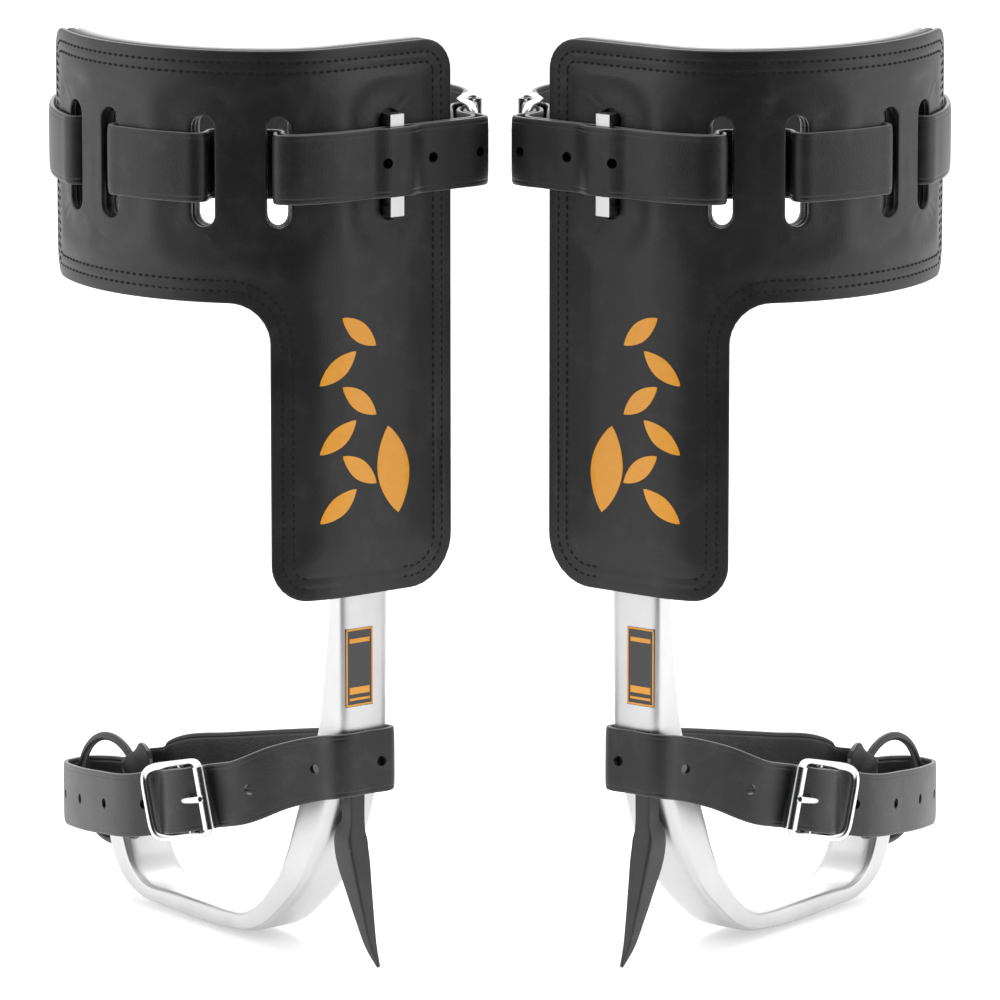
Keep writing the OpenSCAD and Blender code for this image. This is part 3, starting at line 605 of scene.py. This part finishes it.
def pad_surfaces():
    """The three layers of the pad, each cut flat and carried onto the pad's plan."""
    front, front_faces = flat_panel(FRONT_LOOPS, FRONT_T, 0.9, 3.6)
    lift = front_lift(front[:, 0], front[:, 1], FRONT_LOOPS)
    d = front[:, 2] * FRONT_T - lift * np.clip(1 - front[:, 2], 0, 1)
    layers = [("pad_front", pad_points(front[:, 0], front[:, 1], d), front_faces)]
    cushion, cushion_faces = flat_panel(PAD_LOOPS, CUSHION_T, 2.4, 4.2)
    dist = edge_distance(cushion[:, :2], PAD_LOOPS)
    thick = cushion_depth(cushion[:, 1]) + swell(cushion[:, 0]) * rise(dist / 9)
    depth = FRONT_T + cushion[:, 2] * thick
    layers.append(("pad_cushion", pad_points(cushion[:, 0], cushion[:, 1], depth), cushion_faces))
    liner, liner_faces = flat_panel(PAD_LOOPS, LINER_T, 1.7, 4.2)
    dist = edge_distance(liner[:, :2], PAD_LOOPS)
    start = FRONT_T + cushion_depth(liner[:, 1]) + swell(liner[:, 0]) * rise(dist / 9)
    depth = start + liner[:, 2] * (LINER_T + LEG_FELT * leg_share(liner[:, 1]))
    layers.append(("pad_liner", pad_points(liner[:, 0], liner[:, 1], depth), liner_faces))
    return layers


def stitch_surface(pitch=3.9, length=2.7, thick=1.25):
    """Two rows of thread round the pad, broken at the pocket's mouth: each stitch is a small
    lozenge of thread laid along its row, sunk half into the leather."""
    mids, along = [], []
    for inset in STITCH_ROWS:
        loop = pad_outline(inset)
        closed = np.vstack([loop, loop[:1]])
        run = np.concatenate([[0], np.cumsum(np.linalg.norm(np.diff(closed, axis=0), axis=1))])
        at = np.arange(pitch / 2, run[-1], pitch)
        p = np.stack([np.interp(at, run, closed[:, k]) for k in (0, 1)], -1)
        q = np.stack([np.interp(at + 0.4, run, closed[:, k]) for k in (0, 1)], -1)
        low = (p[:, 1] < PAD_TOP - PAD_H + 14) & (p[:, 0] > -17) & (p[:, 0] < 40)
        mids.append(p[~low])
        along.append(unit(q - p)[~low])
    mids, along = np.concatenate(mids), np.concatenate(along)
    rings, around = 5, 6
    u = np.linspace(-1, 1, rings)
    a = np.linspace(0, 2 * np.pi, around, endpoint=False)
    r = np.sqrt(np.clip(1.02 - u**2, 0.03, 1)) * thick / 2
    lay, side, out = (np.broadcast_to(v, (rings, around)) for v in (
        u[:, None] * length / 2, r[:, None] * np.cos(a), r[:, None] * np.sin(a)))
    s = mids[:, 0, None, None] + along[:, 0, None, None] * lay - along[:, 1, None, None] * side
    z = mids[:, 1, None, None] + along[:, 1, None, None] * lay + along[:, 0, None, None] * side
    lift = front_lift(mids[:, 0], mids[:, 1], FRONT_LOOPS)[:, None, None]
    pts = pad_points(s, z, -lift - 0.1 + out * 0.8).reshape(-1, 3)
    one = tube_faces(rings, around)
    faces = [[i + k * rings * around for i in f] for k in range(len(mids)) for f in one]
    return pts, faces


def plate_on_pad(loop, lift=0.25):
    """A thin printed shape on the pad's front, given by a closed loop of s and z."""
    verts, faces = flat_panel([loop], 0.3, 0.05, 4.0)
    stand = front_lift(verts[:, 0], verts[:, 1], FRONT_LOOPS)
    return pad_points(verts[:, 0], verts[:, 1], -stand - lift + verts[:, 2] * 0.3), faces


def leaf_loop(s, z, length, width, lean):
    """A leaf: its width follows a half sine along its length, turned by lean."""
    t = np.linspace(0, 1, 22)
    half = width / 2 * np.sin(np.pi * t) ** 0.8
    x = np.concatenate([half, -half[-2:0:-1]])
    y = np.concatenate([t, t[-2:0:-1]]) * length - length / 2
    a = math.radians(lean)
    return np.stack([s + x * math.cos(a) - y * math.sin(a), z + x * math.sin(a) + y * math.cos(a)], -1)


# ---------------------------------------------------------------- straps, with the CAD's routes

LAYER_1 = GAP + STRAP_T / 2
LAYER_2 = LAYER_1 + GAP + STRAP_T
LAYER_LOOP = GAP + STRAP_T + GAP + 2.5 + GAP + STRAP_T / 2
BEHIND = PAD_T + GAP + STRAP_T / 2
FOLD_R = WIRE_R + GAP + STRAP_T / 2
OUTER_PLY = FOLD_R - STRAP_T - GAP
BILLET = (BAR_RISE - ROLLER_D / 2 - 2.2 * GAP - STRAP_T / 2, FOLD_R + STRAP_T + GAP,
          STRAP_T + GAP - OUTER_PLY)
RING_FOLD_R = RING_WIRE_R + 1.4 + STRAP_T / 2
FOLD_W = 14.0


def stops(points, width, edge=(0.0, 0.0, 1.0)):
    p = np.atleast_2d(np.asarray(points, float))
    return np.column_stack([p, np.full(len(p), width), np.tile(edge, (len(p), 1))])


def pad_run(s0, s1, d, n):
    s = np.linspace(s0, s1, n + 1)
    return stops(pad_points(s, CALF_Z, d), CALF_W)


def slot_pass(s, way):
    """Through a slot: in from the front with way 1, out from behind with way -1."""
    k = 2.6
    rows = np.array([[-k, -LAYER_1], [0, k - LAYER_1], [0, BEHIND - k], [k, BEHIND]])
    if way < 0:
        rows = np.array([[-k, BEHIND], [0, BEHIND - k], [0, k - LAYER_1], [k, -LAYER_1]])
    return stops(pad_points(s + rows[:, 0], CALF_Z, rows[:, 1]), CALF_W)


def fold_round(r):
    a = np.radians(90 - 180 * np.arange(7) / 6)
    return np.stack([r * np.cos(a), r * np.sin(a), 0 * a], -1)


def calf_route():
    def spot(p):
        return buckle_spot(p, CALF_BUCKLE, CALF_TURN)
    back_run = np.array([[-57, -55], [-66, -22], [-57, 18], [-30, 60], [4, 97], [33, 112], [60, 107]])
    exit_at = spot([34, -BILLET[0] + 0.4, 0])
    free = np.vstack([pad_points(WING_END + 8, CALF_Z, -LAYER_1)[None, :2], back_run, exit_at[None, :2]])
    edge = 4.0 + 3
    parts = [
        stops(spot([-30, FOLD_R, 0]), CALF_W), stops(spot(fold_round(FOLD_R)), CALF_W),
        stops(spot([[-14, OUTER_PLY, 0], [-23, OUTER_PLY, 0]]), CALF_W),
        stops([[FACE_X - 1.2, PAD_BACK + 14.4, CALF_Z],
               [FACE_X + LAYER_1 - 0.4, PAD_BACK + 10, CALF_Z]], CALF_W),
        pad_run(-PAD_BACK - 2, BEND_START, -LAYER_1, 2),
        pad_run(BEND_START + 7, SLOT_S[0] - 9, -LAYER_1, 2),
        slot_pass(SLOT_S[0] - 2.7, 1), pad_run(SLOT_S[0] + 8, SLOT_S[1] - 8, BEHIND, 3),
        slot_pass(SLOT_S[1], -1), pad_run(SLOT_S[1] + 9, SLOT_S[2] - 9, -LAYER_1, 4),
        slot_pass(SLOT_S[2], 1), pad_run(SLOT_S[2] + 10, SLOT_S[3] - 10, BEHIND, 2),
        slot_pass(SLOT_S[3], -1), pad_run(SLOT_S[3] + 10, WING_END, -LAYER_1, 4),
        stops(np.column_stack([free, np.full(len(free), CALF_Z)]), CALF_W),
        stops(spot([[26, -BILLET[0], 0], [17, -BILLET[0], 0], [5, -BILLET[1], 0], [-5, -BILLET[1], 0],
                    [-16, -BILLET[2], 0], [-24, -BILLET[2], 0]]), CALF_W),
        stops([[FACE_X + 3.4, PAD_BACK + 18.3, CALF_Z], [FACE_X + 5.2, PAD_BACK + 12, CALF_Z]], CALF_W),
        pad_run(-PAD_BACK - 1, LOOP_SLOT_S - edge - 6, -LAYER_2, 2),
        pad_run(LOOP_SLOT_S - edge, LOOP_SLOT_S + edge, -LAYER_LOOP, 2),
        pad_run(LOOP_SLOT_S + edge + 6, BEND_START, -LAYER_2, 2),
        pad_run(BEND_START + 8, SLOT_S[0] - 5, -LAYER_2, 2),
        stops(pad_points(SLOT_S[0] + 1.2, CALF_Z, np.array([-2.4, 6])), CALF_W)]
    return np.vstack(parts)


HEEL_FOLD, TOE_FOLD = 32.0, -8.0


def ring_spot(a, out, y):
    a = np.radians(a)
    r = RING_R + np.asarray(out, float)
    return RING_AT + np.stack(np.broadcast_arrays(r * np.cos(a), y, r * np.sin(a)), -1)


def ring_fold(a, way, steps):
    t = np.radians(180 * np.asarray(steps) / 6)
    edge = (-math.sin(math.radians(a)), 0, math.cos(math.radians(a)))
    return stops(ring_spot(a, -RING_FOLD_R * np.sin(t), way * RING_FOLD_R * np.cos(t)), FOLD_W, edge)


def lean(a):
    return (-math.sin(math.radians(a)), 0, math.cos(math.radians(a)))


def ankle_route():
    def spot(p):
        return buckle_spot(p, ANKLE_BUCKLE, ANKLE_TURN)
    side_x = SHANK_X + SHANK_T + GAP + STRAP_T / 2
    side_y = SHANK_W / 2 + GAP + STRAP_T / 2
    return np.vstack([
        stops(ring_spot(HEEL_FOLD, 22, -4.6), FOLD_W + 8, lean(18)),
        stops(ring_spot(HEEL_FOLD, 9, -3.4), FOLD_W, lean(HEEL_FOLD)),
        ring_fold(HEEL_FOLD, 1, range(6, -1, -1)),
        stops(ring_spot(HEEL_FOLD, 9, 3.6), FOLD_W, lean(HEEL_FOLD)),
        stops([-51, -2, 58.5], ANKLE_W - 8, lean(16)),
        stops([[-36, 3, 61.5], [-10, 12, 66.5], [28, 19.5, 74], [66, 20.5, 82], [94, 17.5, 89],
               [SHANK_X + 8, side_y, 93.5], [side_x - 1, side_y - 0.6, 94], [side_x + 0.4, side_y - 3, 94],
               [side_x, 0, 94], [side_x + 0.4, -side_y + 3, 94], [side_x - 1.2, -side_y - 0.4, 93.8],
               [SHANK_X + 2, -side_y - 4, 91.5], [92, -30, 85]], ANKLE_W),
        stops(spot([[38, -BILLET[0], 0], [30, -BILLET[0], 0], [17, -BILLET[0], 0], [5, -BILLET[1], 0],
                    [-5, -BILLET[1], 0], [-16, -BILLET[2], 0], [-38, -BILLET[2], 0]]), ANKLE_W),
        stops([[-40, -49.5, 49.5], [-86, -34, 41.5], [-112, -20.5, 36.5], [-125, -10, 34],
               [-126, 1, 34], [-116, 7.5, 35], [-100, 8, 37]], ANKLE_W)])


def buckle_strap_route():
    def spot(p):
        return buckle_spot(p, ANKLE_BUCKLE, ANKLE_TURN)
    edge = tuple(spot([0, 0, 1]) - spot([0, 0, 0]))
    return np.vstack([
        stops(spot([-28, FOLD_R, 0]), ANKLE_W, edge), stops(spot(fold_round(FOLD_R)), ANKLE_W, edge),
        stops(spot([[-14, OUTER_PLY, 0], [-30, OUTER_PLY, 0]]), ANKLE_W, edge),
        stops([*spot([[-42, OUTER_PLY + 2, 0]]), [-30, -42, 48], [-48, -28.5, 42]], ANKLE_W - 4),
        stops(ring_spot(TOE_FOLD, 6, -9), FOLD_W + 4),
        stops(ring_spot(TOE_FOLD, 2, -RING_FOLD_R - 0.6), FOLD_W, lean(TOE_FOLD)),
        ring_fold(TOE_FOLD, -1, range(6))])


CALF_HOLE_PITCH, ANKLE_HOLE_PITCH, HOLE_R = 29, 38, 2.6
PRONG_SPOT = [9.5, -5.2, 0]


def punch(path, at, radius, depth=9.0):
    """Round tools for strap holes, square to the strap at the given places along its path."""
    p = path[:, :3]
    run = np.concatenate([[0], np.cumsum(np.linalg.norm(np.diff(p, axis=0), axis=1))])
    tools = []
    for where in at:
        i = int(np.clip(np.searchsorted(run, where), 1, len(p) - 2))
        ahead = unit(p[i + 1] - p[i - 1])
        face = unit(np.cross(ahead, path[i, 4:7]))
        line = p[i] + face * np.linspace(-depth / 2, depth / 2, 2)[:, None]
        tools.append(wire_surface(line, radius, around=20))
    return merged(tools)


def run_at(path, spot):
    """The distance along a path of its place nearest to a spot."""
    p = path[:, :3]
    run = np.concatenate([[0], np.cumsum(np.linalg.norm(np.diff(p, axis=0), axis=1))])
    return run, run[np.argmin(np.linalg.norm(p - spot, axis=1))]


# ---------------------------------------------------------------- buckles

def buckle_surface(strap_w, at, turn):
    """A buckle: a wire bent to a waisted rounded rectangle, its ends standing out, and a middle bar."""
    a = np.linspace(0, 2 * np.pi, 120, endpoint=False)
    c, s = np.cos(a), np.sin(a)
    x = BUCKLE_LEN / 2 * np.sign(c) * np.abs(c) ** 0.34
    rail = strap_w / 2 + 0.6 + WIRE_R
    z = rail * np.sign(s) * np.abs(s) ** 0.34
    z = z * (1 - 0.05 * (1 - (x / (BUCKLE_LEN / 2)) ** 2))
    y = -BAR_RISE * np.abs(x / (BUCKLE_LEN / 2)) ** 1.35
    frame_wire = wire_surface(buckle_spot(np.stack([x, y, z], -1), at, turn), WIRE_R, True)
    bar = wire_surface(buckle_spot([[0, 0, -rail * 0.95], [0, 0, rail * 0.95]], at, turn), WIRE_R - 0.02)
    return merged([frame_wire, bar])


def prong_surface(at, turn):
    """A tongue: a tapering wire bent over the billet, with three turns of its eye round the bar."""
    line = smooth_path(np.array([[1.6, -2.4, 0], [4.0, -5.4, 0], [9, -9.9, 0], [15.5, -12.1, 0],
                                 [21, -12.7, 0], [23.4, -12.6, 0]]), 0.8, 1)
    n = len(line)
    r = 1.75 * np.sqrt(np.clip(1 - ((np.arange(n) - n + 4.0).clip(0) / 4.6) ** 2, 0.1, 1))
    parts = [wire_surface(buckle_spot(line, at, turn), r)]
    a = np.linspace(0, 2 * np.pi, 28, endpoint=False)
    for z in (-1.5, 0, 1.5):
        eye = np.stack([2.9 * np.cos(a), 2.9 * np.sin(a), 0 * a + z], -1)
        parts.append(wire_surface(buckle_spot(eye, at, turn), 0.8, True, 10))
    return merged(parts)


# ---------------------------------------------------------------- making the pair

FORGING, GAFF = forging_surface(), gaff_surface()
LAYERS, STITCHES = pad_surfaces(), stitch_surface()
MOTIF = merged([plate_on_pad(loop) for loop in [
    leaf_loop(17 + 6 * (-1) ** k, 226 + 17 * k, 25, 9.5, 52 * (-1) ** k) for k in range(6)] + [
    leaf_loop(-9, 241, 44, 19, -8)]])
CALF_PATH = smooth_path(calf_route(), 1.4, 3)
ANKLE_PATH = smooth_path(ankle_route(), 1.4, 4)
SHORT_PATH = smooth_path(buckle_strap_route(), 1.2, 3)


def label_print():
    """The label's print: a border, two bars and a row of blocks, standing off the film by a hair."""
    x = SHANK_X + SHANK_T + 0.4
    blocks = [(-4, 161, 15.4, 0.9), (-4, 123.2, 15.4, 0.9), (-11.6, 142, 0.8, 38), (3.6, 142, 0.8, 38),
              (-4, 155.5, 12, 2.2), (-4, 130.5, 12, 3.4), (-4, 126.2, 12, 1.2)]
    out = []
    for y, z, w, h in blocks:
        p = np.array([[x - 0.05, y - w / 2, z - h / 2], [x - 0.05, y + w / 2, z - h / 2],
                      [x - 0.05, y + w / 2, z + h / 2], [x - 0.05, y - w / 2, z + h / 2]])
        out.append((np.vstack([p, p + [0.13, 0, 0]]), tube_faces(2, 4)))
    return merged(out)


for side in SIDES:
    forging = piece("forging", *FORGING, side, CAST, "shank", "cast_aluminium", "shank")
    cut(forging, *wire_surface(ring_path(), RING_WIRE_R + 2.4, True), side)
    piece("gaff_point", *GAFF, side, BLACK, "shank", "black_steel", "gaff", sharp=50)
    piece("ring_wire", *wire_surface(ring_path(), RING_WIRE_R, True), side, BLACK, "ring",
          "black_steel", "ring")
    for (node, points, faces), finish, slot in zip(
            LAYERS, (PAD, CUSHION, FELT), ("pad_leather", "cushion_leather", "felt")):
        made = piece(node + "_cut", points, faces, side, finish, "sleeve", slot, node)
        node == "pad_cushion"
    piece("pad_stitches", *STITCHES, side, THREAD, "sleeve", "strap_leather")
    piece("pad_motif", *MOTIF, side, ORANGE, "sleeve", "pad_leather")
    piece("label_print", *label_print(), side, ORANGE, "shank", "label_film")

    v, f, uv = strap_surface(CALF_PATH, STRAP_T)
    calf = piece("calf_strap_leather", v, f, side, STRAP, "sleeve", "strap_leather", "calf_strap", uv)
    run, prong_at = run_at(CALF_PATH, buckle_spot(PRONG_SPOT, CALF_BUCKLE, CALF_TURN))
    half_way = run_at(CALF_PATH, pad_points(WING_END + 12, CALF_Z, -LAYER_1))[1]
    holes = [prong_at + CALF_HOLE_PITCH * k for k in range(-4, 5)]
    holes = [at for at in holes if at < run[-1] - 24] + [half_way]
    cut(calf, *punch(CALF_PATH, holes, HOLE_R), side)

    v, f, uv = strap_surface(ANKLE_PATH, STRAP_T)
    ankle = piece("ankle_strap_leather", v, f, side, STRAP, "shank", "strap_leather", "ankle_strap", uv)
    run, prong_at = run_at(ANKLE_PATH, buckle_spot(PRONG_SPOT, ANKLE_BUCKLE, ANKLE_TURN))
    holes = [prong_at + ANKLE_HOLE_PITCH * k for k in range(-3, 5)]
    cut(ankle, *punch(ANKLE_PATH, [at for at in holes if at < run[-1] - 18], HOLE_R), side)
    v, f, uv = strap_surface(SHORT_PATH, STRAP_T)
    piece("buckle_strap_leather", v, f, side, STRAP, "shank", "strap_leather", "buckle_strap", uv)

    for at, turn, width, kind, body in ((CALF_BUCKLE, CALF_TURN, CALF_W, "calf", "sleeve"),
                                        (ANKLE_BUCKLE, ANKLE_TURN, ANKLE_W, "ankle", "shank")):
        piece(kind + "_buckle_wire", *buckle_surface(width, at, turn), side, CHROME, body,
              "chromed_wire", kind + "_buckle")
        piece(kind + "_tongue", *prong_surface(at, turn), side, CHROME, kind + "_prong",
              "chromed_wire", kind + "_prong")

NODE_FINISH = {"gaff_screws": PLATED, "label": FILM, "sleeve": PLAIN, "sleeve_bolts": PLATED,
               "sleeve_nuts": PLATED, "calf_roller": CHROME, "ankle_roller": CHROME,
               "calf_rivets": PLATED, "ankle_rivets": PLATED}
for side in SIDES:
    for node, finish in NODE_FINISH.items():
        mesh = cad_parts[f"{side}_{node}"].data
        mesh.materials.clear()
        mesh.materials.append(finish)
        mesh.shade_smooth()
        mesh.set_sharp_from_angle(angle=math.radians(35))

# ---------------------------------------------------------------- stage, light and camera

FLOOR_Z = -0.0116
FLOOR = ((-6, -0.6), (6, -0.6), (6, 6), (-6, 6))
# The room's brightness from before the object (0) to behind it (1): dark in front, so that black
# leather facing the camera stays deep, and bright at the sides.
ROOM = ((0.0, 0.02), (0.08, 0.04), (0.20, 0.9), (0.36, 1.3), (0.60, 1.25))


def area_light(name, place, aim, size, power):
    data = bpy.data.lights.new(name, "AREA")
    data.size, data.energy = size, power
    lamp = bpy.data.objects.new(name, data)
    lamp.location = place
    lamp.rotation_euler = (Vector(aim) - Vector(place)).to_track_quat("-Z", "Y").to_euler()
    bpy.context.scene.collection.objects.link(lamp)


floor_mesh = bpy.data.meshes.new("floor")
floor_mesh.from_pydata([(x, y, FLOOR_Z) for x, y in FLOOR], [], [(0, 1, 2, 3)])
floor = bpy.data.objects.new("floor", floor_mesh)
bpy.context.scene.collection.objects.link(floor)
pale = Finish("pale_floor", (0.92, 0.92, 0.92), 0.9)
pale.feed("Base Color", pale.blend(pale.noise(3.0), (0.90, 0.90, 0.90), (0.94, 0.94, 0.94)))
pale.bsdf.inputs["Emission Color"].default_value = (1, 1, 1, 1)
pale.bsdf.inputs["Emission Strength"].default_value = 0.3
floor_mesh.materials.append(pale.mat)

world = bpy.data.worlds.new("studio")
bpy.context.scene.world = world
world.use_nodes = True
nodes, links = world.node_tree.nodes, world.node_tree.links
way = nodes.new("ShaderNodeTexCoord")
split = nodes.new("ShaderNodeSeparateXYZ")
ramp = nodes.new("ShaderNodeValToRGB")
links.new(way.outputs["Generated"], split.inputs[0])
shift = nodes.new("ShaderNodeMath")
shift.operation = "MULTIPLY_ADD"
shift.inputs[1].default_value = 0.5
shift.inputs[2].default_value = 0.5
links.new(split.outputs["Y"], shift.inputs[0])
links.new(shift.outputs[0], ramp.inputs[0])
for k, (at, level) in enumerate(ROOM):
    stop = ramp.color_ramp.elements[k] if k < 2 else ramp.color_ramp.elements.new(at)
    stop.position, stop.color = at, (level, level, level, 1)
links.new(ramp.outputs[0], nodes["Background"].inputs["Color"])
nodes["Background"].inputs["Strength"].default_value = 1.0
area_light("top", (0.0, -0.2, 2.2), (0, 0, 0.2), 1.6, 9)
area_light("left", (-1.9, -0.5, 0.7), (0, 0, 0.2), 1.2, 5)
area_light("right", (1.9, -0.5, 0.7), (0, 0, 0.2), 1.2, 5)
area_light("back", (0.0, 1.6, 1.6), (0, 0, 0.1), 1.6, 14)

TARGET = Vector((0.0, 0.0, 0.2052))
ELEVATION, FAR, VIEW_W = math.radians(11.5), 4.0, 0.5
camera_data = bpy.data.cameras.new("camera")
camera_data.sensor_width = 36.0
camera_data.lens = 36.0 * FAR / VIEW_W
camera_data.clip_end = 60.0
camera = bpy.data.objects.new("camera", camera_data)
camera.location = TARGET + FAR * Vector((0, -math.cos(ELEVATION), math.sin(ELEVATION)))
camera.rotation_euler = (TARGET - camera.location).to_track_quat("-Z", "Y").to_euler()
bpy.context.scene.collection.objects.link(camera)
bpy.context.scene.camera = camera
bpy.context.scene.view_settings.view_transform = "Standard"
